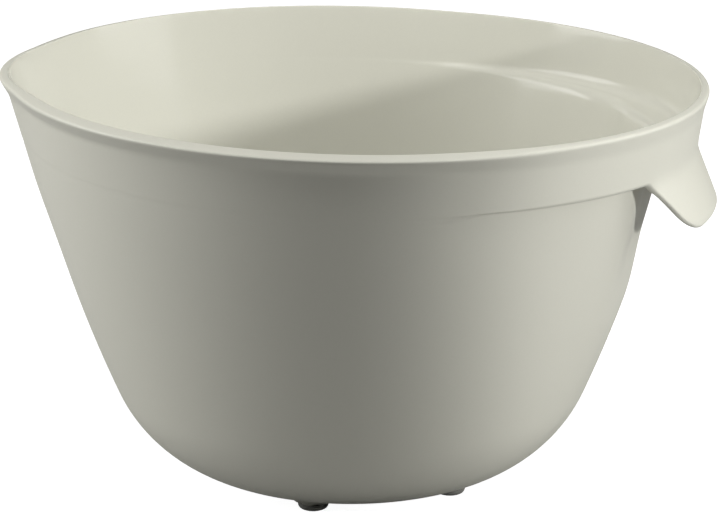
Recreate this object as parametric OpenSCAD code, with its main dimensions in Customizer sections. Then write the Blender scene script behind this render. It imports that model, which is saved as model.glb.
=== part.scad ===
// Batter bowl: round moulded mixing bowl with a turned-out lip, a small pouring
// spout, a raised band with a finger grip, and five soft feet.
// Millimetres, +Z up, table at z = 0, spout towards -X, grip towards +X.

/* [Bowl] */
// Outer wall radius at the rim
rim_r = 116.3; // [112:0.1:120]
// Height from the table to the rim, on the bowl's axis
bowl_h = 146; // [136:1:156]
// Radius of the flat part of the base
base_r = 35; // [32:0.5:39]
// Radius of the corner between base and wall
corner_r = 53; // [48:1:58]
// Radius of the wall's own gentle side curve
wall_curve_r = 480; // [420:5:600]
// Wall thickness
wall = 2.2; // [1.8:0.1:2.8]
// How much higher the rim is at the spout than at the grip
rim_rise = 4.8; // [3:0.2:6]

/* [Lip] */
// How far the lip stands out from the wall
lip_out = 3.2; // [2:0.1:5]
// Height from the rim down to the crease under the lip
lip_h = 6.5; // [5:0.1:9]
// How far the lip's top falls towards its outer edge
lip_fall = 1.3; // [0.4:0.1:1.6]
// Radius of the lip's outer edge
lip_edge_r = 1.4; // [0.8:0.1:1.6]
// How far the lip stands out at the tip of the spout
spout_lip_out = 1.3; // [0.8:0.1:2]
// How far the lip stands out at the grip
band_lip_out = 0.5; // [0.3:0.1:1.2]

/* [Spout] */
// How far the rim is pulled out at the spout
spout_pull = 4.9; // [3.5:0.1:6]
// Radius of the spout seen from above
spout_r = 72; // [64:1:80]
// Lean of the spout's wall from the vertical
spout_draft = 17; // [16.5:0.5:18]
// Depth of the spout's own wall
spout_h = 46; // [40:1:48]
// Depth over which the spout runs back into the bowl's wall
spout_run = 14; // [12:0.5:18]
// Lean of that run-back from the vertical
spout_run_draft = 31; // [28:0.5:36]

/* [Band] */
// How far the rim is pulled out at the grip
band_pull = 7.9; // [6.5:0.1:9]
// Distance of the band's centre from the bowl's axis
band_shift = 11.5; // [10:0.5:13]
// Height of the band
band_h = 21.5; // [19:0.5:24]
// Lean of the band's face from the vertical
band_draft = 7.5; // [6:0.5:9]
// Radius of the band's lower edge
band_edge_r = 2; // [0.8:0.1:2.1]

/* [Grip] */
// Width of the grip where it leaves the band
grip_w = 131; // [118:1:138]
// How far the grip hangs below the band
grip_drop = 19.7; // [18:0.1:22]
// Lean of the grip's side edges from the vertical
grip_side = 33.5; // [28:0.5:38]
// Radius of the grip's lower corners
grip_corner_r = 16; // [12:0.5:20]
// Outward lean of the grip from the vertical
grip_flare = 23; // [18:0.5:26]
// Thickness of the grip
grip_t = 2.1; // [1.6:0.1:2.6]

/* [Finger recess] */
// Depth of the recess just under the band
recess_depth = 2.7; // [2:0.1:3.5]
// Depth below the rim where the recess runs out
recess_end = 75; // [68:1:82]
// Radius of the recess's floor seen from above
recess_r = 133; // [128:1:145]

/* [Feet] */
// Distance of the feet from the bowl's axis
foot_ring_r = 43; // [40:0.5:46]
// Diameter of a foot
foot_d = 10.8; // [10:0.2:13]
// Height of a foot below the base
foot_stand = 2.5; // [2:0.1:3.2]
// Radius of a foot's lower edge
foot_edge_r = 1.8; // [1:0.1:1.8]
// Diameter of the plug on top of a foot
plug_d = 8; // [6:0.2:8.6]
// Height of the plug on top of a foot
plug_h = 1.1; // [0.8:0.1:1.2]
// Clearance between plug and socket
plug_gap = 0.1; // [0.05:0.05:0.2]
// Width of the seat around a foot
seat_rim = 1.1; // [0.6:0.1:1.6]

/* [Hidden] */
$fn = 180;
// side of the large cutting blocks
block = 400;
// steps round the lip's outer edge and the grip's corners
edge_steps = 6;
// how far the lip's crease is sunk into the wall
crease_sink = 1;
// height by which inner shapes run on above the rim
over = 8;
rim_tilt = atan(rim_rise / (2 * rim_r));
bowl_color = [0.76, 0.75, 0.69];
foot_color = [0.30, 0.30, 0.28];

// side curve of the wall: corner centre, rim point and wall-arc centre
corner_c = [base_r, foot_stand + corner_r];
rim_p = [rim_r, bowl_h];
reach = wall_curve_r - corner_r;
chord = rim_p - corner_c;
chord_l = norm(chord);
along = (reach * reach - wall_curve_r * wall_curve_r + chord_l * chord_l) / (2 * chord_l);
aside = sqrt(reach * reach - along * along);
wall_c = corner_c + along * chord / chord_l + aside * [-chord[1], chord[0]] / chord_l;
join_dir = (corner_c - wall_c) / reach;
wall_lean = asin((wall_c[1] - bowl_h) / wall_curve_r);

// spout and band circles
spout_shift = rim_r + spout_pull - spout_r;
band_r = rim_r + band_pull - band_shift;
band_low_r = band_r - band_h * tan(band_draft);

// grip
grip_tip_x = band_low_r + grip_drop * tan(grip_flare);
grip_low_z = -(band_h + grip_drop);

// recess floor, from just under the band to where it runs out
recess_top = [wall_r(bowl_h - band_h) - recess_depth, bowl_h - band_h];
recess_low = [wall_r(bowl_h - recess_end), bowl_h - recess_end];
recess_fall = (recess_top[0] - recess_low[0]) / (recess_top[1] - recess_low[1]);

// feet
seat_d = foot_d + 2 * seat_rim;
seat_h = base_rise(foot_ring_r + seat_d / 2) + wall / 2;

// shift that puts the middle of the whole part on x = 0
grip_x = (band_shift + grip_tip_x) * cos(rim_tilt) + grip_low_z * sin(rim_tilt);
spout_x = spout_shift + spout_r + spout_lip_out;
axis_x = (spout_x - grip_x) / 2;

// outer wall radius at height z
function wall_r(z) = wall_c[0] + sqrt(wall_curve_r * wall_curve_r - pow(z - wall_c[1], 2));

// height of the base's underside above its flat part at radius r
function base_rise(r) = r > base_r ? corner_r - sqrt(corner_r * corner_r - pow(r - base_r, 2)) : 0;

// point where the line from p touches the circle round c on its right-hand side
function touch(p, c, r) =
    let (v = c - p, d = norm(v), turn = atan2(v[1], v[0]) - asin(r / d))
    p + sqrt(d * d - r * r) * [cos(turn), sin(turn)];

// points round an edge of radius r from one angle to another
function round_edge(c, r, from, to) =
    [for (i = [0 : edge_steps]) let (turn = from + (to - from) * i / edge_steps) c + r * [cos(turn), sin(turn)]];

// places children in the tilted frame of the rim
module at_rim() {
    translate([0, 0, bowl_h]) rotate([0, rim_tilt, 0]) children();
}

// half section of the plain bowl, moved inwards by inset
module bowl_section(inset) {
    join_z = corner_c[1] + (corner_r - inset) * join_dir[1];
    low_z = foot_stand + inset;
    intersection() {
        translate(wall_c) circle(r = wall_curve_r - inset, $fn = 720);
        translate([0, join_z]) square([block, bowl_h + over - join_z]);
    }
    intersection() {
        union() {
            translate(corner_c) circle(r = corner_r - inset);
            translate([0, low_z]) square([base_r, corner_r]);
        }
        translate([0, low_z]) square([block, join_z - low_z]);
    }
}

// plain bowl with the shallow finger recess taken off one side
module body(inset) {
    top_z = bowl_h + over;
    floor_r = recess_r - inset;
    intersection() {
        rotate_extrude() bowl_section(inset);
        translate([recess_top[0] - recess_r, 0, 0])
            cylinder(r1 = floor_r - recess_top[1] * recess_fall,
                r2 = floor_r + (top_z - recess_top[1]) * recess_fall, h = top_z);
    }
}

// leaning cone that pulls the rim out at the spout and runs back into the wall
module spout(inset) {
    fall = tan(spout_draft);
    wall_low_r = spout_r - inset - spout_h * fall;
    run_low_z = -(spout_h + spout_run);
    at_rim() translate([-spout_shift, 0, 0]) rotate_extrude()
        polygon([[0, over], [spout_r - inset + over * fall, over], [wall_low_r, -spout_h],
            [wall_low_r - spout_run * tan(spout_run_draft), run_low_z], [0, run_low_z]]);
}

// half section of the band, with a rounded lower edge of radius edge
module band_section(inset, edge) {
    fall = tan(band_draft);
    low_z = inset - band_h;
    low_r = band_low_r - inset + inset * fall;
    top_r = band_r - inset + over * fall;
    // centre of the rounded edge, touching the floor and the leaning face
    edge_c = [low_r - edge * (1 - sin(band_draft)) / cos(band_draft), low_z + edge];
    edge_p = edge_c + edge * [cos(band_draft), -sin(band_draft)];
    polygon([[0, low_z], [edge_c[0], low_z], edge_c, edge_p, [top_r, over], [0, over]]);
    translate(edge_c) circle(r = edge, $fn = 48);
}

// raised band round the grip side of the rim
module band(inset, edge) {
    at_rim() translate([band_shift, 0, 0]) rotate_extrude() band_section(inset, edge);
}

// lip that stands out by out on a circle of radius r whose wall leans by lean
module lip_ring(r, lean, out) {
    slope = atan(lip_fall / (lip_out + wall));
    edge_x = r + out - lip_edge_r;
    edge_c = [edge_x, -(edge_x - r + wall) * tan(slope) - lip_edge_r / cos(slope)];
    crease_p = [r - lip_h * tan(lean) - crease_sink, -lip_h];
    under_v = touch(crease_p, edge_c, lip_edge_r) - edge_c;
    in_x = r - 2 * wall;
    rotate_extrude()
        polygon(concat([[in_x, wall * tan(slope)]],
            round_edge(edge_c, lip_edge_r, 90 - slope, atan2(under_v[1], under_v[0])),
            [crease_p, [in_x, -lip_h]]));
}

// outline of the grip seen from its end, with its level edge at the bottom
module grip_outline() {
    root_y = grip_w / 2;
    corner_y = root_y - grip_drop * tan(grip_side) - grip_corner_r * tan(45 - grip_side / 2);
    corner_z = grip_low_z + grip_corner_r;
    top_z = band_edge_r - band_h;
    polygon(concat([[-root_y, top_z], [-root_y, -band_h]],
        round_edge([-corner_y, corner_z], grip_corner_r, 180 + grip_side, 270),
        round_edge([corner_y, corner_z], grip_corner_r, -90, -grip_side),
        [[root_y, -band_h], [root_y, top_z]]));
}

// thin flared tongue that hangs from the band
module grip() {
    across = grip_t / cos(grip_flare);
    root_r = band_low_r + band_edge_r * tan(band_draft);
    at_rim() translate([band_shift, 0, 0]) intersection() {
        rotate_extrude()
            polygon([[grip_tip_x, grip_low_z], [band_low_r, -band_h], [root_r, band_edge_r - band_h],
                [root_r - across, band_edge_r - band_h], [band_low_r - across, -band_h],
                [grip_tip_x - across, grip_low_z]]);
        rotate([90, 0, 90]) linear_extrude(block / 2) grip_outline();
    }
}

// space inside the bowl
module inside() {
    body(wall);
    spout(wall);
    band(wall, band_edge_r);
}

// places children under the base, at the seat of the foot in direction turn
module at_foot(turn) {
    rotate([0, 0, turn]) translate([foot_ring_r, 0, 0]) rotate([0, 0, -turn]) children();
}

module bowl() {
    color(bowl_color) translate([axis_x, 0, 0]) difference() {
        union() {
            intersection() {
                union() {
                    body(0);
                    spout(0);
                    band(0, band_edge_r);
                }
                at_rim() translate([-block / 2, -block / 2, -block - lip_h / 2]) cube(block);
            }
            at_rim() lip_ring(rim_r, wall_lean, lip_out);
            at_rim() translate([band_shift, 0, 0]) lip_ring(band_r, band_draft, band_lip_out);
            at_rim() translate([-spout_shift, 0, 0]) lip_ring(spout_r, spout_draft, spout_lip_out);
            for (turn = [36, 108, 180, 252, 324])
                at_foot(turn) translate([0, 0, foot_stand]) cylinder(d = seat_d, h = seat_h);
            grip();
        }
        inside();
        for (turn = [36, 108, 180, 252, 324])
            at_foot(turn) translate([0, 0, foot_stand - plug_gap])
                cylinder(d = plug_d + 2 * plug_gap, h = plug_h + 2 * plug_gap);
    }
}

// soft foot with a rounded lower edge and a short plug on top
module foot(turn) {
    color(foot_color) translate([axis_x, 0, 0]) at_foot(turn) {
        rotate_extrude() {
            translate([0, foot_edge_r]) square([foot_d / 2, foot_stand - foot_edge_r]);
            square([foot_d / 2 - foot_edge_r, foot_stand]);
            translate([foot_d / 2 - foot_edge_r, foot_edge_r]) intersection() {
                circle(r = foot_edge_r, $fn = 48);
                translate([0, -foot_edge_r]) square(foot_edge_r);
            }
        }
        translate([0, 0, foot_stand - plug_gap]) cylinder(d = plug_d, h = plug_h + plug_gap);
    }
}

module foot_spout() { foot(180); }

module foot_front_mid() { foot(252); }

module foot_front_grip() { foot(324); }

module foot_back_mid() { foot(108); }

module foot_back_grip() { foot(36); }

bowl();
foot_spout();
foot_front_mid();
foot_front_grip();
foot_back_mid();
foot_back_grip();
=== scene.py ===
import math

import bmesh
import bpy
import numpy as np
from bpy.props import FloatProperty, FloatVectorProperty, IntProperty, PointerProperty
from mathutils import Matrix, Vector


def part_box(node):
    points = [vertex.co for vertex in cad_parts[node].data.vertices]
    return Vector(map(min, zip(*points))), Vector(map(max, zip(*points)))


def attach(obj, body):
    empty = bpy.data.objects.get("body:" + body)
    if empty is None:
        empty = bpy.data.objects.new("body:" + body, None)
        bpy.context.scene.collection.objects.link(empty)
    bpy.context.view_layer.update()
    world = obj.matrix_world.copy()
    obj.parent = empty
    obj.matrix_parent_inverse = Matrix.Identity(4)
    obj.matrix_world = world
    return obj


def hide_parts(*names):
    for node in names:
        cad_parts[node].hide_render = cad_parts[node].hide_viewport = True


bl_info = {
    "name": "Batter Bowl",
    "version": (1, 0, 0),
    "blender": (4, 5, 0),
    "location": "View3D > Sidebar > Batter Bowl",
    "description": "Builds a moulded batter bowl with its feet, materials and studio",
    "category": "Add Mesh",
}

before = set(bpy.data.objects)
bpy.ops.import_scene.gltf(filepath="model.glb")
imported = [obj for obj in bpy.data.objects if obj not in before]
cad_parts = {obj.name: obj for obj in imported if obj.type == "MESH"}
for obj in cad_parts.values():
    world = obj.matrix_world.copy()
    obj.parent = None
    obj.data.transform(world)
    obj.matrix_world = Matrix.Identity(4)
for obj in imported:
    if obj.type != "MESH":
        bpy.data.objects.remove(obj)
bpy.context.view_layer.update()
FOOT_LOW, FOOT_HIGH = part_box("foot_spout")
FOOT_RING = 0.043

# Feet: CAD node and direction from the grip, in degrees
FEET = (
    ("foot_spout", 180.0),
    ("foot_front_mid", 252.0),
    ("foot_front_grip", 324.0),
    ("foot_back_mid", 108.0),
    ("foot_back_grip", 36.0),
)

# Rim tilt: depth where it starts to level out, and the run until it is level
TILT_FADE = (0.055, 0.05)
# Spout: depth where it starts to run into the wall, and the run until it is gone
SPOUT_FADE = (0.035, 0.032)
# Widths of the rounded change-overs between spout, wall, band, lip and tongue
SPOUT_BLEND = 0.0020
LIP_BLEND = 0.0012
BAND_BLEND = 0.0008
TONGUE_BLEND = 0.0008
# Shares of the finger recess, across and down, that have its full depth
POCKET_CORE = 0.68
RECESS_CORE = 0.6
# Wall measured level instead of square to its face
LEVEL_WALL = 1.03
# Depths below the rim where the rows of the lip start and end, and where the inner step ends
LIP_START = 0.0018
LIP_END = 0.0095
STEP_END = 0.010
# Depths of the inner rows between the step and the lip
RIM_ROWS = (0.0085, 0.007, 0.0055, 0.004, 0.0028)
# Makes up for what rounding takes off the lip's edge
LIP_REACH = 0.0003
# Distances from the band's lower edge to the rows around it
STEP_BELOW = 0.009
LEDGE_ABOVE = 0.006
LEDGE_BELOW = 0.008
# Sideways distance past the grip's root where nothing hangs any more, and steps to find the drop
TONGUE_CLEAR = 0.006
DROP_ROUNDS = 8
# Drop over which the band's edge turns into the tongue, and ledge under which the edge runs flat
TONGUE_RUN = 0.005
FLAT_LEDGE = 0.0016
# Width of the bend where the tongue leaves the band, and turn of its lower edge past a right angle
BEND = 0.0012
EDGE_TURN = 0.88
# Largest share of the ledge that the edge's radius takes up, and depth of the tongue's root
EDGE_SHARE = 0.42
ROOT_BACK = 0.0031
# Blend at the edge of a foot's flat seat, and the height below which seats are cut
SEAT_BLEND = 0.0012
SEAT_TOP = 0.012

# Softboxes: place to the right, towards the camera and up from the bowl's middle, size and power setting
SOFTBOXES = (
    ("left_softbox", (-1.0, 0.03, 0.42), (0.7, 0.8), "left_power"),
    ("right_softbox", (1.0, 0.0, 0.42), (0.7, 0.8), "right_power"),
    ("top_softbox", (0.0, 0.35, 1.05), (0.9, 0.4), "top_power"),
    ("side_softbox", (0.4, 0.2, 0.98), (0.5, 0.4), "side_power"),
)
LIGHT_MIDDLE = 0.08
# Beam: direction round from the camera, height, aim beside and above the bowl's middle, cone and source
BEAM_TURN = math.radians(52)
BEAM_UP = 0.24
BEAM_ASIDE = 0.264
BEAM_AIM_UP = 0.09
BEAM_ANGLE = math.radians(40)
BEAM_BLEND = 0.16
BEAM_SOURCE = 0.032
FLOOR_SIZE = 6.0
FLOOR_GLOW = 0.95
SENSOR_WIDTH = 36.0


class BowlShape(bpy.types.PropertyGroup):
    """Sizes of the moulded bowl"""

    axis_x: FloatProperty(
        name="Axis", description="Place of the bowl's axis along X",
        default=(FOOT_LOW.x + FOOT_HIGH.x) / 2 + FOOT_RING, unit="LENGTH")
    rim_radius: FloatProperty(
        name="Rim radius", description="Outer wall radius at the rim", default=0.1163, unit="LENGTH")
    height: FloatProperty(
        name="Height", description="Table to rim on the axis", default=0.146, unit="LENGTH")
    base_radius: FloatProperty(
        name="Base radius", description="Flat part of the base", default=0.035, unit="LENGTH")
    corner_radius: FloatProperty(
        name="Corner radius", description="Curve between base and wall", default=0.053, unit="LENGTH")
    wall_curve: FloatProperty(
        name="Wall curve", description="Radius of the wall's side curve", default=0.480, unit="LENGTH")
    wall: FloatProperty(
        name="Wall", description="Wall thickness", default=0.0022, unit="LENGTH")
    rim_tilt: FloatProperty(
        name="Rim tilt", description="Slope of the rim, lower at the grip",
        default=0.0206, subtype="ANGLE")
    stand: FloatProperty(
        name="Stand", description="Height of the base above the table", default=0.0025, unit="LENGTH")
    lip_out: FloatProperty(
        name="Lip overhang", description="Lip beyond the wall", default=0.0032, unit="LENGTH")
    lip_height: FloatProperty(
        name="Lip height", description="Rim to the crease under the lip", default=0.0065, unit="LENGTH")
    lip_fall: FloatProperty(
        name="Lip fall", description="Fall of the lip's top to its edge", default=0.0013, unit="LENGTH")
    spout_pull: FloatProperty(
        name="Spout pull", description="Rim pulled out at the spout", default=0.0049, unit="LENGTH")
    spout_radius: FloatProperty(
        name="Spout radius", description="Spout seen from above", default=0.072, unit="LENGTH")
    spout_lip: FloatProperty(
        name="Spout lip", description="Lip beyond the wall at the spout", default=0.0013, unit="LENGTH")
    spout_draft: FloatProperty(
        name="Spout draft", description="Lean of the spout's wall",
        default=math.radians(15.9), subtype="ANGLE")
    band_pull: FloatProperty(
        name="Band pull", description="Rim pulled out at the grip", default=0.0079, unit="LENGTH")
    band_lip: FloatProperty(
        name="Band lip", description="Lip beyond the band", default=0.0005, unit="LENGTH")
    band_shift: FloatProperty(
        name="Band shift", description="Band centre from the bowl's axis", default=0.0115, unit="LENGTH")
    band_height: FloatProperty(
        name="Band height", description="Rim to the band's lower edge", default=0.0215, unit="LENGTH")
    band_draft: FloatProperty(
        name="Band draft", description="Lean of the band's face",
        default=math.radians(8.6), subtype="ANGLE")
    band_edge: FloatProperty(
        name="Band edge", description="Radius of the band's lower edge", default=0.0019, unit="LENGTH")
    grip_width: FloatProperty(
        name="Grip width", description="Grip where it leaves the band", default=0.131, unit="LENGTH")
    grip_drop: FloatProperty(
        name="Grip drop", description="Grip below the band", default=0.0197, unit="LENGTH")
    grip_side: FloatProperty(
        name="Grip side", description="Lean of the grip's side edges",
        default=math.radians(33.5), subtype="ANGLE")
    grip_corner: FloatProperty(
        name="Grip corner", description="Radius of the grip's lower corners",
        default=0.016, unit="LENGTH")
    grip_flare: FloatProperty(
        name="Grip flare", description="Outward lean of the grip",
        default=math.radians(21.7), subtype="ANGLE")
    grip_thick: FloatProperty(
        name="Grip thickness", description="Thickness of the grip", default=0.0021, unit="LENGTH")
    recess_depth: FloatProperty(
        name="Recess depth", description="Finger recess under the band", default=0.0024, unit="LENGTH")
    recess_end: FloatProperty(
        name="Recess end", description="Rim to where the recess runs out", default=0.076, unit="LENGTH")
    recess_half: FloatProperty(
        name="Recess half-angle", description="Middle to the recess's outer edge",
        default=math.radians(30),
        subtype="ANGLE")
    columns: IntProperty(
        name="Columns", description="Steps round the bowl", default=480, min=90)
    color: FloatVectorProperty(
        name="Plastic", description="Colour of the moulding", default=(0.620, 0.614, 0.535),
        size=3, subtype="COLOR")
    rough_out: FloatProperty(
        name="Outside roughness", description="Satin outside", default=0.40, subtype="FACTOR")
    rough_in: FloatProperty(
        name="Inside roughness", description="Polished inside", default=0.14, subtype="FACTOR")


class FootShape(bpy.types.PropertyGroup):
    """Sizes of the soft feet"""

    ring_radius: FloatProperty(
        name="Foot ring", description="Feet from the bowl's axis", default=FOOT_RING, unit="LENGTH")
    diameter: FloatProperty(
        name="Diameter", description="Width of a foot", default=0.0108, unit="LENGTH")
    edge: FloatProperty(
        name="Edge", description="Radius of the lower edge", default=0.0018, unit="LENGTH")
    seat: FloatProperty(
        name="Seat", description="Width of the seat above a foot", default=0.013, unit="LENGTH")
    color: FloatVectorProperty(
        name="Rubber", description="Colour of the feet",
        default=(0.21, 0.21, 0.19), size=3, subtype="COLOR")


class StudioSettings(bpy.types.PropertyGroup):
    """Camera and lights"""

    azimuth: FloatProperty(
        name="Azimuth", description="Camera round from the side view", default=0.0, subtype="ANGLE")
    elevation: FloatProperty(
        name="Elevation", description="Camera above the rim's middle",
        default=math.radians(13), subtype="ANGLE")
    distance: FloatProperty(
        name="Distance", description="Camera to the rim's middle", default=1.2, unit="LENGTH")
    lens: FloatProperty(
        name="Lens", description="Focal length", default=171.4, subtype="DISTANCE_CAMERA")
    aim_right: FloatProperty(
        name="Aim right", description="Aim point right of the axis", default=0.0033, unit="LENGTH")
    aim_down: FloatProperty(
        name="Aim down", description="Aim point below the rim", default=0.0664, unit="LENGTH")
    left_power: FloatProperty(
        name="Left light", description="Power of the left softbox", default=10.2, unit="POWER")
    right_power: FloatProperty(
        name="Right light", description="Power of the right softbox", default=4.8, unit="POWER")
    beam_power: FloatProperty(
        name="Beam", description="Power of the flagged light at the right", default=21.5, unit="POWER")
    top_power: FloatProperty(
        name="Top light", description="Power of the overhead softbox", default=5.8, unit="POWER")
    side_power: FloatProperty(
        name="Side top light", description="Power of the softbox above the grip",
        default=1.6, unit="POWER")
    fill: FloatProperty(
        name="Fill", description="Strength of the room's light", default=0.005)
    floor_shade: FloatProperty(
        name="Floor", description="Light that the floor throws back", default=0.38, subtype="FACTOR")


def smooth(t):
    """Smooth step of t from 0 to 1."""
    t = np.clip(t, 0.0, 1.0)
    return t * t * (3.0 - 2.0 * t)


def soft_max(a, b, k):
    """Larger of a and b with a rounded change-over of width k."""
    return (a + b + np.sqrt((a - b) ** 2 + k * k)) / 2.0


def rounded_path(points, radii, counts):
    """Rows along a path of (r, depth) points per column, with its inner corners rounded.

    counts holds the steps of each straight stretch and of each corner, in turn."""
    pts = [np.stack(np.broadcast_arrays(r, d)) for r, d in points]
    rows = [pts[0]]
    last = pts[0]
    for i in range(1, len(pts) - 1):
        before = pts[i] - pts[i - 1]
        after = pts[i + 1] - pts[i]
        len_b = np.linalg.norm(before, axis=0) + 1e-9
        len_a = np.linalg.norm(after, axis=0) + 1e-9
        cut = np.minimum(radii[i - 1], 0.45 * np.minimum(len_b, len_a))
        start = pts[i] - before / len_b * cut
        end = pts[i] + after / len_a * cut
        steps, turns = counts[2 * i - 2], counts[2 * i - 1]
        for k in range(1, steps + 1):
            rows.append(last + (start - last) * k / steps)
        for k in range(1, turns + 1):
            t = k / turns
            rows.append(start * (1 - t) ** 2 + pts[i] * 2 * t * (1 - t) + end * t * t)
        last = end
    steps = counts[-1]
    for k in range(1, steps + 1):
        rows.append(last + (pts[-1] - last) * k / steps)
    return rows


class BowlSurface:
    """Formulas of the bowl's outer and inner surfaces, per column round the bowl"""

    def __init__(self, p):
        self.p = p
        self.theta = np.arange(p.columns) * (2.0 * math.pi / p.columns)
        self.cos = np.cos(self.theta)
        self.sin = np.sin(self.theta)
        self.corner = np.array((p.base_radius, p.stand + p.corner_radius))
        rim = np.array((p.rim_radius, p.height))
        reach = p.wall_curve - p.corner_radius
        chord = rim - self.corner
        length = np.linalg.norm(chord)
        along = (reach ** 2 - p.wall_curve ** 2 + length ** 2) / (2.0 * length)
        aside = math.sqrt(reach ** 2 - along ** 2)
        side = np.array((-chord[1], chord[0]))
        self.centre = self.corner + along * chord / length + aside * side / length
        self.join = (self.corner - self.centre) / reach
        self.join_depth = p.height - (self.corner[1] + p.corner_radius * self.join[1])
        off = np.minimum(self.theta, 2.0 * math.pi - self.theta)
        self.pocket = 1.0 - smooth((off / p.recess_half - POCKET_CORE) / (1.0 - POCKET_CORE))

    def plain(self, z):
        """Radius of the plain wall at height z."""
        return self.centre[0] + np.sqrt(self.p.wall_curve ** 2 - (z - self.centre[1]) ** 2)

    def height(self, depth):
        """Height of a row at depth below the rim, tilted near the rim and level lower down."""
        level = 1.0 - smooth((depth - TILT_FADE[0]) / TILT_FADE[1])
        return self.p.height - depth - math.tan(self.p.rim_tilt) * self.p.rim_radius * self.cos * level

    def circle(self, shift, radius):
        """Distance from the axis to a circle whose centre is moved along X."""
        return shift * self.cos + np.sqrt(np.maximum(radius ** 2 - (shift * self.sin) ** 2, 0.0))

    def band(self, depth):
        """Radius of the band's leaning face."""
        p = self.p
        radius = p.rim_radius + p.band_pull - p.band_shift - depth * math.tan(p.band_draft)
        return self.circle(p.band_shift, radius)

    def round_wall(self, depth):
        """Outer radius of the wall with the spout, without band and recess."""
        p = self.p
        shift = p.rim_radius + p.spout_pull - p.spout_radius
        spout = self.circle(-shift, p.spout_radius - depth * math.tan(p.spout_draft))
        spout = np.where(self.cos < 0.0, spout, 0.0)
        plain = self.plain(self.height(depth))
        fade = 1.0 - smooth((depth - SPOUT_FADE[0]) / SPOUT_FADE[1])
        return plain + (soft_max(plain, spout, SPOUT_BLEND) - plain) * fade

    def lip_edge(self):
        """Radius of the lip's outer edge."""
        p = self.p
        shift = p.rim_radius + p.spout_pull - p.spout_radius
        spout = np.where(self.cos < 0.0, self.circle(-shift, p.spout_radius + p.spout_lip), 0.0)
        band = self.circle(p.band_shift, p.rim_radius + p.band_pull - p.band_shift + p.band_lip)
        return soft_max(soft_max(p.rim_radius + p.lip_out, spout, LIP_BLEND), band, LIP_BLEND)

    def upper(self, depth):
        """Outer radius from the rim down to the band's lower edge."""
        return soft_max(self.round_wall(depth), self.band(depth), BAND_BLEND)

    def lower(self, depth):
        """Outer radius below the band, with the finger recess."""
        p = self.p
        run_out = 1.0 - smooth((depth / p.recess_end - RECESS_CORE) / (1.0 - RECESS_CORE))
        return self.round_wall(depth) - p.recess_depth * self.pocket * run_out

    def drop(self):
        """How far the grip hangs below the band in each column."""
        p = self.p
        half = p.grip_width / 2.0
        slope = math.tan(p.grip_side)
        centre = half - p.grip_drop * slope - p.grip_corner * math.tan(math.pi / 4 - p.grip_side / 2)
        side_y = centre + p.grip_corner * math.cos(p.grip_side)
        root = self.band(p.band_height)
        found = np.zeros_like(self.cos)
        for _ in range(DROP_ROUNDS):
            y = np.abs((root + found * math.tan(p.grip_flare)) * self.sin)
            y = np.where(self.cos > 0, y, 1.0)
            away = np.clip(y - centre, 0.0, p.grip_corner)
            low = p.grip_drop - p.grip_corner + np.sqrt(p.grip_corner ** 2 - away ** 2)
            line = soft_max((half - y) / slope, 0.0 * y, TONGUE_BLEND)
            found = np.where(y < side_y, low, line)
            found = np.where(y > half + TONGUE_CLEAR, 0.0, found)
        return found


def bowl_rows(s):
    """Rows of (radius, height, inside) from the inner middle, over the lip, to the outer middle."""
    p = s.p
    one = np.ones_like(s.cos)
    thick = p.wall * LEVEL_WALL
    rows = []

    def add(r, z, inside):
        rows.append((r * one, z * one, inside))

    def add_depth(found, inside):
        for r, d in found:
            add(r, s.height(d), inside)

    def corner_rows(inset, steps):
        start = -math.pi / 2
        end = math.atan2(s.join[1], s.join[0])
        out = []
        for k in range(steps + 1):
            a = start + (end - start) * k / steps
            out.append((s.corner[0] + (p.corner_radius - inset) * math.cos(a),
                        s.corner[1] + (p.corner_radius - inset) * math.sin(a)))
        return out

    # Inside: base, corner and wall up to the step
    for share in (0.0, 0.25, 0.5, 0.8):
        add(share * p.base_radius, p.stand + p.wall, 1.0)
    for r, z in corner_rows(p.wall, 22):
        add(r, z, 1.0)
    step_low = p.band_height + STEP_BELOW
    for d in np.linspace(s.join_depth, step_low, 30)[1:-1]:
        add(s.lower(d) - thick, s.height(d), 1.0)
    # Inside: step behind the band
    floor = p.band_height - p.wall
    add_depth(rounded_path(
        ((s.lower(step_low) - thick, step_low), (s.lower(floor + 0.0012) - thick, floor + 0.0012),
         (s.upper(floor) - thick, floor), (s.upper(STEP_END) - thick, STEP_END)),
        (0.0030, 0.0040), (4, 6, 5, 7, 4)), 1.0)
    for d in RIM_ROWS:
        add(s.upper(d) - thick, s.height(d), 1.0)
    # Lip
    rim = s.upper(0.0)
    edge = s.lip_edge()
    slope = p.lip_fall / (p.lip_out + p.wall)
    lip = rounded_path(
        ((s.upper(LIP_START) - thick, LIP_START), (rim - p.wall, 0.0),
         (edge + LIP_REACH, (edge - rim + p.wall) * slope), (s.upper(p.lip_height), p.lip_height),
         (s.upper(LIP_END), LIP_END)),
        (0.0005, 0.0019, 0.0014), (3, 5, 5, 10, 4, 6, 3))
    add_depth(lip[:4], 1.0)
    add_depth(lip[4:], 0.0)
    # Outside: band face down to just above its lower edge
    top = p.band_height - LEDGE_ABOVE
    for d in np.linspace(LIP_END, top, 7)[1:-1]:
        add(s.upper(d), s.height(d), 0.0)
    add_depth(ledge_rows(s, top), 0.0)
    # Outside: wall, corner and base
    low = p.band_height + LEDGE_BELOW
    for d in np.linspace(low, s.join_depth, 34)[1:-1]:
        add(s.lower(d), s.height(d), 0.0)
    for r, z in reversed(corner_rows(0.0, 26)):
        add(r, z, 0.0)
    for share in (0.75, 0.5, 0.25, 0.0):
        add(share * p.base_radius, p.stand, 0.0)
    return rows


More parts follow.
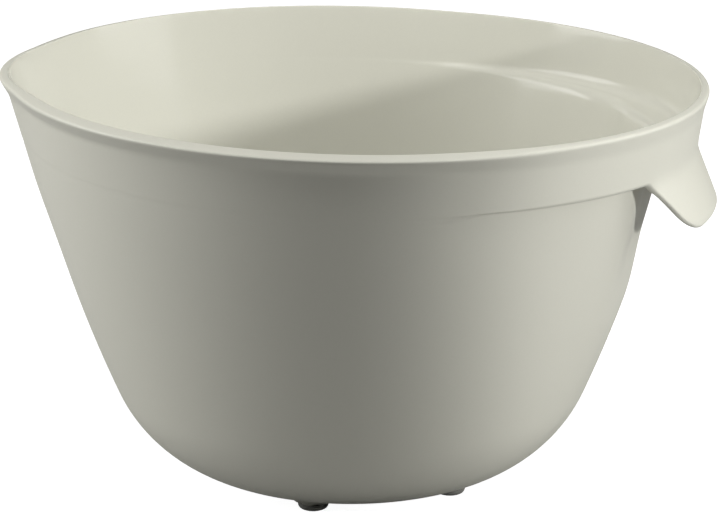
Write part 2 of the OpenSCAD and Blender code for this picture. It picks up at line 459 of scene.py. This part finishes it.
def ledge_rows(s, top):
    """Rows of the band's lower edge, the grip's tongue and the ledge back to the wall."""
    p = s.p
    drop = s.drop()
    tongue = smooth(drop / TONGUE_RUN)
    edge_r = s.upper(p.band_height)
    depth_c = p.band_height + 0.0005
    ledge = np.maximum(edge_r - s.lower(depth_c), 0.0)
    flat = 1.0 - smooth(ledge / FLAT_LEDGE)
    half = p.grip_thick / 2.0
    rho = np.minimum(tongue * half + (1.0 - tongue) * p.band_edge, EDGE_SHARE * ledge)
    flare = (math.tan(p.grip_flare) + math.tan(p.band_draft)) * tongue

    def face(d):
        run = BEND * np.logaddexp(0.0, (d - p.band_height) / BEND)
        return s.upper(d) + flare * run

    end = p.band_height + drop - rho
    rows = []
    steps = 16
    for k in range(steps + 1):
        d = top + (end - top) * k / steps
        rows.append((face(d), d))
    # Round edge
    centre_r = rows[-1][0] - rho
    sweep = math.pi / 2 * (1.0 + EDGE_TURN * tongue)
    turns = 10
    for k in range(1, turns + 1):
        a = sweep * k / turns
        d = end + rho * np.sin(a) + 0.0012 * flat * k / turns
        rows.append((centre_r + rho * np.cos(a) + (s.upper(d) - s.upper(end)) * flat, d))
    # Back of the tongue, ledge and root fillet
    last = rows.pop()
    root_d = p.band_height + 0.0001 + 0.0020 * flat
    root_r = edge_r - np.minimum(ROOT_BACK, 0.5 * ledge) + (s.upper(root_d) - edge_r) * flat
    wall_d = depth_c + 0.0030 * flat
    low = p.band_height + LEDGE_BELOW
    rows += rounded_path(
        (last, (root_r, root_d), (s.lower(wall_d), wall_d), (s.lower(low), low)),
        (0.0016, 0.0022), (10, 5, 6, 6, 5))
    return rows


def spin_mesh(name, profile, steps):
    """Mesh object from a profile of (r, z) points spun round Z, with each vertex's row kept."""
    bm = bmesh.new()
    row = bm.verts.layers.int.new("row")
    verts = []
    for i, (r, z) in enumerate(profile):
        v = bm.verts.new((r, 0.0, z))
        v[row] = i
        verts.append(v)
    edges = [bm.edges.new(pair) for pair in zip(verts, verts[1:])]
    bmesh.ops.spin(
        bm, geom=verts + edges, cent=(0, 0, 0), axis=(0, 0, 1), angle=2 * math.pi, steps=steps,
        use_merge=True)
    poles = [v for v in bm.verts if math.hypot(v.co.x, v.co.y) < 1e-7]
    bmesh.ops.remove_doubles(bm, verts=poles, dist=1e-7)
    bmesh.ops.recalc_face_normals(bm, faces=bm.faces)
    for face in bm.faces:
        face.smooth = True
    mesh = bpy.data.meshes.new(name)
    bm.to_mesh(mesh)
    bm.free()
    obj = bpy.data.objects.new(name, mesh)
    bpy.context.scene.collection.objects.link(obj)
    return obj


def seat_share(x, y, foot):
    """1 on the flat seats above the feet and 0 away from them."""
    share = np.zeros_like(x)
    for _, turn in FEET:
        a = math.radians(turn)
        away = np.hypot(x - foot.ring_radius * math.cos(a), y - foot.ring_radius * math.sin(a))
        share = np.maximum(share, 1.0 - smooth((away - foot.seat / 2) / SEAT_BLEND + 0.5))
    return share


def surface_group():
    """Node group with the faint unevenness of a moulded face: a value and a normal."""
    found = bpy.data.node_groups.get("moulded_face")
    if found:
        return found
    group = bpy.data.node_groups.new("moulded_face", "ShaderNodeTree")
    face = group.interface
    face.new_socket("Scale", in_out="INPUT", socket_type="NodeSocketFloat").default_value = 900.0
    face.new_socket("Depth", in_out="INPUT", socket_type="NodeSocketFloat").default_value = 0.02
    face.new_socket("Value", in_out="OUTPUT", socket_type="NodeSocketFloat")
    face.new_socket("Normal", in_out="OUTPUT", socket_type="NodeSocketVector")
    nodes, links = group.nodes, group.links
    entry = nodes.new("NodeGroupInput")
    leave = nodes.new("NodeGroupOutput")
    coords = nodes.new("ShaderNodeTexCoord")
    grain = nodes.new("ShaderNodeTexNoise")
    grain.inputs["Detail"].default_value = 3.0
    bump = nodes.new("ShaderNodeBump")
    bump.inputs["Distance"].default_value = 0.0002
    links.new(coords.outputs["Object"], grain.inputs["Vector"])
    links.new(entry.outputs["Scale"], grain.inputs["Scale"])
    links.new(grain.outputs["Fac"], bump.inputs["Height"])
    links.new(entry.outputs["Depth"], bump.inputs["Strength"])
    links.new(grain.outputs["Fac"], leave.inputs["Value"])
    links.new(bump.outputs["Normal"], leave.inputs["Normal"])
    return group


def tinted_material(name, color, scale, depth, spread):
    """Material whose colour varies by spread and whose face is faintly uneven, and its shader."""
    mat = bpy.data.materials.new(name)
    mat.use_nodes = True
    nodes, links = mat.node_tree.nodes, mat.node_tree.links
    shader = nodes["Principled BSDF"]
    face = nodes.new("ShaderNodeGroup")
    face.node_tree = surface_group()
    face.inputs["Scale"].default_value = scale
    face.inputs["Depth"].default_value = depth
    shade = nodes.new("ShaderNodeMapRange")
    shade.inputs["To Min"].default_value = 1.0 - spread
    shade.inputs["To Max"].default_value = 1.0 + spread
    tint = nodes.new("ShaderNodeHueSaturation")
    tint.inputs["Color"].default_value = (*color, 1.0)
    links.new(face.outputs["Value"], shade.inputs["Value"])
    links.new(shade.outputs["Result"], tint.inputs["Value"])
    links.new(tint.outputs["Color"], shader.inputs["Base Color"])
    links.new(face.outputs["Normal"], shader.inputs["Normal"])
    return mat, shader


def plastic_material(p):
    """Moulded plastic, satin outside and polished inside."""
    mat, shader = tinted_material("bowl_plastic", p.color, 1400.0, 0.05, 0.02)
    shader.inputs["Specular IOR Level"].default_value = 0.25
    nodes, links = mat.node_tree.nodes, mat.node_tree.links
    inside = nodes.new("ShaderNodeAttribute")
    inside.attribute_name = "inside"
    rough = nodes.new("ShaderNodeMix")
    rough.inputs["A"].default_value = p.rough_out
    rough.inputs["B"].default_value = p.rough_in
    links.new(inside.outputs["Fac"], rough.inputs["Factor"])
    links.new(rough.outputs["Result"], shader.inputs["Roughness"])
    return mat


def rubber_material(p):
    """Matte soft rubber."""
    mat, shader = tinted_material("foot_rubber", p.color, 2200.0, 0.25, 0.1)
    shader.inputs["Roughness"].default_value = 0.7
    return mat


class BATTER_OT_bowl(bpy.types.Operator):
    """Builds the moulded bowl"""

    bl_idname = "batter.bowl"
    bl_label = "Bowl"

    def execute(self, context):
        p = context.scene.batter_bowl
        s = BowlSurface(p)
        rows = bowl_rows(s)
        obj = spin_mesh("bowl_moulding", [(r[0], z[0]) for r, z, _ in rows], p.columns)
        mesh = obj.data
        count = len(mesh.vertices)
        co = np.zeros(count * 3)
        mesh.vertices.foreach_get("co", co)
        co = co.reshape(-1, 3)
        row = np.zeros(count, int)
        mesh.attributes["row"].data.foreach_get("value", row)
        turn = np.arctan2(co[:, 1], co[:, 0])
        column = np.rint(turn / (2 * math.pi) * p.columns).astype(int) % p.columns
        radius = np.array([r for r, _, _ in rows])
        height = np.array([z for _, z, _ in rows])
        r = radius[row, column]
        x = r * s.cos[column]
        y = r * s.sin[column]
        z = height[row, column]
        inside = np.array([i for _, _, i in rows])[row]
        seat = seat_share(x, y, context.scene.batter_foot) * (inside < 0.5) * (z < SEAT_TOP)
        z = z * (1.0 - seat) + p.stand * seat
        co = np.stack((x + p.axis_x, y, z), axis=1)
        mesh.vertices.foreach_set("co", co.ravel())
        mesh.attributes.new("inside", "FLOAT", "POINT").data.foreach_set("value", inside)
        mesh.update()
        mesh.materials.append(plastic_material(p))
        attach(obj, "root")
        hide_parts("bowl")
        return {"FINISHED"}


class BATTER_OT_feet(bpy.types.Operator):
    """Builds the soft feet"""

    bl_idname = "batter.feet"
    bl_label = "Feet"

    def execute(self, context):
        p = context.scene.batter_foot
        bowl = context.scene.batter_bowl
        mat = rubber_material(p)
        half = p.diameter / 2
        top = bowl.stand
        profile = [(0.0, 0.0), (half * 0.3, 0.0), (half - p.edge, 0.0)]
        for k in range(1, 9):
            a = -math.pi / 2 + math.pi / 2 * k / 8
            profile.append((half - p.edge + p.edge * math.cos(a), p.edge + p.edge * math.sin(a)))
        profile += [(half, top - 0.0002), (half - 0.0002, top), (half * 0.4, top), (0.0, top)]
        for node, turn in FEET:
            obj = spin_mesh(node + "_pad", profile, 64)
            a = math.radians(turn)
            place = Vector((bowl.axis_x + p.ring_radius * math.cos(a), p.ring_radius * math.sin(a), 0.0))
            for v in obj.data.vertices:
                v.co += place
            obj.data.materials.append(mat)
            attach(obj, "root")
            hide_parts(node)
        return {"FINISHED"}


def white_material(name, shade, strength):
    """White for the camera and grey paper for the light."""
    mat = bpy.data.materials.new(name)
    mat.use_nodes = True
    nodes, links = mat.node_tree.nodes, mat.node_tree.links
    shader = nodes["Principled BSDF"]
    shader.inputs["Base Color"].default_value = (shade, shade, shade, 1.0)
    shader.inputs["Roughness"].default_value = 0.9
    shader.inputs["Emission Color"].default_value = (1.0, 1.0, 1.0, 1.0)
    path = nodes.new("ShaderNodeLightPath")
    glow = nodes.new("ShaderNodeMath")
    glow.operation = "MULTIPLY"
    glow.inputs[1].default_value = strength
    links.new(path.outputs["Is Camera Ray"], glow.inputs[0])
    links.new(glow.outputs["Value"], shader.inputs["Emission Strength"])
    return mat


def place_facing(data, place, aim):
    """Object for a light or camera at place that faces aim."""
    obj = bpy.data.objects.new(data.name, data)
    obj.location = place
    obj.rotation_euler = (aim - place).to_track_quat("-Z", "Y").to_euler()
    bpy.context.scene.collection.objects.link(obj)
    return obj


def area_light(name, place, aim, size, power):
    """Rectangular softbox at place that faces aim."""
    data = bpy.data.lights.new(name, "AREA")
    data.shape = "RECTANGLE"
    data.size, data.size_y = size
    data.energy = power
    place_facing(data, place, aim)


def beam_light(name, place, aim, power):
    """Light with a soft-edged beam from place towards aim, without a highlight of its own."""
    data = bpy.data.lights.new(name, "SPOT")
    data.spot_size = BEAM_ANGLE
    data.spot_blend = BEAM_BLEND
    data.shadow_soft_size = BEAM_SOURCE
    data.energy = power
    place_facing(data, place, aim).visible_glossy = False


def build_floor(p):
    """Floor that is white to the camera and catches the bowl's shadow."""
    bm = bmesh.new()
    bmesh.ops.create_grid(bm, x_segments=1, y_segments=1, size=FLOOR_SIZE)
    mesh = bpy.data.meshes.new("floor")
    bm.to_mesh(mesh)
    bm.free()
    floor = bpy.data.objects.new("floor", mesh)
    floor.data.materials.append(white_material("floor_white", p.floor_shade, FLOOR_GLOW))
    bpy.context.scene.collection.objects.link(floor)


def build_world(p):
    """Room that is white to the camera and nearly dark to the light."""
    world = bpy.data.worlds.new("room")
    world.use_nodes = True
    nodes, links = world.node_tree.nodes, world.node_tree.links
    path = nodes.new("ShaderNodeLightPath")
    level = nodes.new("ShaderNodeMix")
    level.inputs["A"].default_value = p.fill
    level.inputs["B"].default_value = 1.0
    links.new(path.outputs["Is Camera Ray"], level.inputs["Factor"])
    links.new(level.outputs["Result"], nodes["Background"].inputs["Strength"])
    nodes["Background"].inputs["Color"].default_value = (1.0, 1.0, 1.0, 1.0)
    bpy.context.scene.world = world


class BATTER_OT_studio(bpy.types.Operator):
    """Builds floor, lights, world and camera"""

    bl_idname = "batter.studio"
    bl_label = "Studio"

    def execute(self, context):
        p = context.scene.batter_studio
        bowl = context.scene.batter_bowl
        build_floor(p)
        build_world(p)
        up = Vector((0.0, 0.0, 1.0))
        right = Vector((math.cos(p.azimuth), math.sin(p.azimuth), 0.0))
        toward = Vector((math.sin(p.azimuth), -math.cos(p.azimuth), 0.0))
        centre = Vector((bowl.axis_x, 0.0, LIGHT_MIDDLE))
        for name, (x, y, z), size, power in SOFTBOXES:
            area_light(name, centre + right * x + toward * y + up * z, centre, size, getattr(p, power))
        beam = right * math.sin(BEAM_TURN) + toward * math.cos(BEAM_TURN)
        across = right * math.cos(BEAM_TURN) - toward * math.sin(BEAM_TURN)
        target = centre + across * BEAM_ASIDE + up * BEAM_AIM_UP
        beam_light("right_beam", centre + beam + up * BEAM_UP, target, p.beam_power)
        middle = Vector((bowl.axis_x, 0.0, bowl.height))
        back = toward * math.cos(p.elevation) + up * math.sin(p.elevation)
        aim = middle + right * p.aim_right - up * p.aim_down
        data = bpy.data.cameras.new("camera")
        data.lens = p.lens
        data.sensor_width = SENSOR_WIDTH
        context.scene.camera = place_facing(data, middle + back * p.distance, aim)
        context.scene.view_settings.view_transform = "Standard"
        return {"FINISHED"}


class BATTER_PT_panel(bpy.types.Panel):
    """Buttons and sizes of the batter bowl"""

    bl_idname = "BATTER_PT_panel"
    bl_label = "Batter Bowl"
    bl_space_type = "VIEW_3D"
    bl_region_type = "UI"
    bl_category = "Batter Bowl"

    def draw(self, context):
        for operator, group in (
                (BATTER_OT_bowl, context.scene.batter_bowl),
                (BATTER_OT_feet, context.scene.batter_foot),
                (BATTER_OT_studio, context.scene.batter_studio)):
            box = self.layout.box()
            box.operator(operator.bl_idname)
            for name in group.bl_rna.properties.keys():
                if name not in ("name", "rna_type"):
                    box.prop(group, name)


CLASSES = (
    BowlShape, FootShape, StudioSettings,
    BATTER_OT_bowl, BATTER_OT_feet, BATTER_OT_studio, BATTER_PT_panel)


def register():
    for cls in CLASSES:
        bpy.utils.register_class(cls)
    bpy.types.Scene.batter_bowl = PointerProperty(type=BowlShape)
    bpy.types.Scene.batter_foot = PointerProperty(type=FootShape)
    bpy.types.Scene.batter_studio = PointerProperty(type=StudioSettings)


def unregister():
    del bpy.types.Scene.batter_studio
    del bpy.types.Scene.batter_foot
    del bpy.types.Scene.batter_bowl
    for cls in reversed(CLASSES):
        bpy.utils.unregister_class(cls)


def main():
    register()
    bpy.ops.batter.bowl()
    bpy.ops.batter.feet()
    bpy.ops.batter.studio()
    bpy.context.view_layer.update()


if __name__ == "__main__":
    main()
